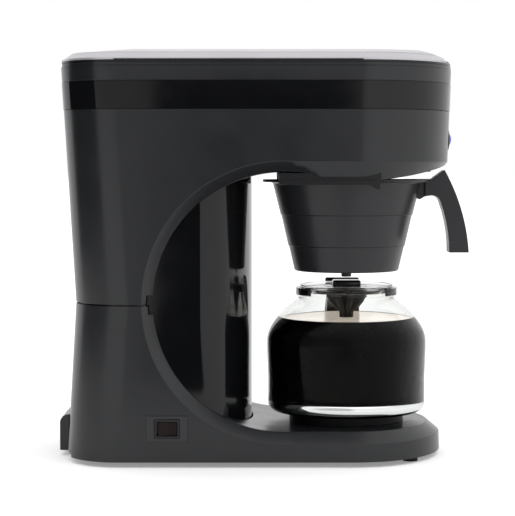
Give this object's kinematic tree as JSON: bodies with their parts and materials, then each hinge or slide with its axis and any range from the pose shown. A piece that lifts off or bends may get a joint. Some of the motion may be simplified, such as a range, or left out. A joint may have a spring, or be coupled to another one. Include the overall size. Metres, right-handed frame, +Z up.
{
  "type": "drip coffee maker",
  "caption": "Countertop hot-tank drip coffee maker with lidded reservoir, slide-in brew funnel, side rocker switch and a glass carafe on a warmer plate.",
  "frame": {"origin": "centre of the object's footprint box, on the surface it stands on", "axes": "+X towards the front, where the funnel and carafe slide out; +Z up; +Y towards the carafe handle"},
  "size_m": [0.367, 0.2184, 0.36],
  "materials": {
    "charcoal_plastic": "fine satin moulded",
    "gloss_black_plastic": "polished",
    "dark_plastic": "satin moulded",
    "silver_lid": "metallic satin paint",
    "stainless": "brushed",
    "white_plastic": "moulded",
    "black_rubber": "matte",
    "clear_glass": "clear",
    "copper_wire": "drawn",
    "enamel_black": "satin non-stick coat",
    "grey_plastic": "fine satin moulded",
    "funnel_plastic": "fine satin moulded",
    "rocker_red": "translucent",
    "button_blue": "polished"
  },
  "bodies": {
    "machine": {"upper_housing": "charcoal_plastic", "base_shell": "charcoal_plastic", "column_cover": "gloss_black_plastic", "head_band": "gloss_black_plastic", "head_floor": "dark_plastic", "rail_left": "dark_plastic", "rail_right": "dark_plastic", "spray_head": "stainless", "spray_tube": "white_plastic", "reservoir_basin": "charcoal_plastic", "lid_hinge_pin": "stainless", "fill_tube": "white_plastic", "tank": "stainless", "tank_lid": "white_plastic", "tank_gasket": "black_rubber", "tank_screws": "stainless", "tank_heater": "stainless", "tank_cradle": "stainless", "thermostat": "stainless", "thermal_fuse": "stainless", "terminal_block": "white_plastic", "wiring": "copper_wire", "warmer_plate": "enamel_black", "warmer_element": "stainless", "warmer_pan": "stainless", "base_pan": "dark_plastic", "feet": "black_rubber", "base_screws": "stainless", "cord_hood": "charcoal_plastic", "hood_screws": "stainless", "switch_plate": "grey_plastic", "switch_body": "gloss_black_plastic", "button_bezel": "gloss_black_plastic", "button_switch": "white_plastic"},
    "lid": {"lid_skin": "silver_lid", "lid_liner": "dark_plastic"},
    "valve": {"valve_stem": "white_plastic", "valve_seal": "black_rubber", "valve_spring": "stainless"},
    "funnel": {"brew_funnel": "funnel_plastic"},
    "carafe": {"carafe_glass": "clear_glass", "carafe_band": "dark_plastic", "carafe_handle": "dark_plastic", "band_screw": "stainless"},
    "carafe_lid": {"carafe_lid": "dark_plastic"},
    "rocker": {"rocker": "rocker_red"},
    "button": {"button_cap": "button_blue"}
  },
  "joints": [
    {"name": "lid_hinge", "type": "hinge", "parent": "machine", "child": "lid", "pos_m": [-0.1754, -0.01375, 0.3478], "axis": [0, -1, 0], "range_deg": [0, 95]},
    {"name": "valve_slide", "type": "slide", "parent": "machine", "child": "valve", "axis": [0, 0, 1], "range_m": [0, 0.003], "deforming": ["valve_spring"]},
    {"name": "funnel_slide", "type": "slide", "parent": "machine", "child": "funnel", "axis": [1, 0, 0], "range_m": [0, 0.18]},
    {"name": "carafe_slide", "type": "slide", "parent": "machine", "child": "carafe", "axis": [1, 0, 0], "range_m": [0, 0.26]},
    {"name": "carafe_lid_turn", "type": "hinge", "parent": "carafe", "child": "carafe_lid", "pos_m": [0.0738, -0.01375, 0.148], "axis": [0, 0, 1], "range_deg": [-45, 0]},
    {"name": "rocker_tilt", "type": "hinge", "parent": "machine", "child": "rocker", "pos_m": [-0.0841, -0.10375, 0.0338], "axis": [0, 0, -1], "range_deg": [0, 16]},
    {"name": "button_push", "type": "slide", "parent": "machine", "child": "button", "axis": [-1, 0, 0], "range_m": [0, 0.002], "stiffness_N_per_m": 400}
  ],
  "couplings": [
    {"joint": "valve_slide", "follows": "lid_hinge", "m_per_rad": 0.0018}
  ]
}
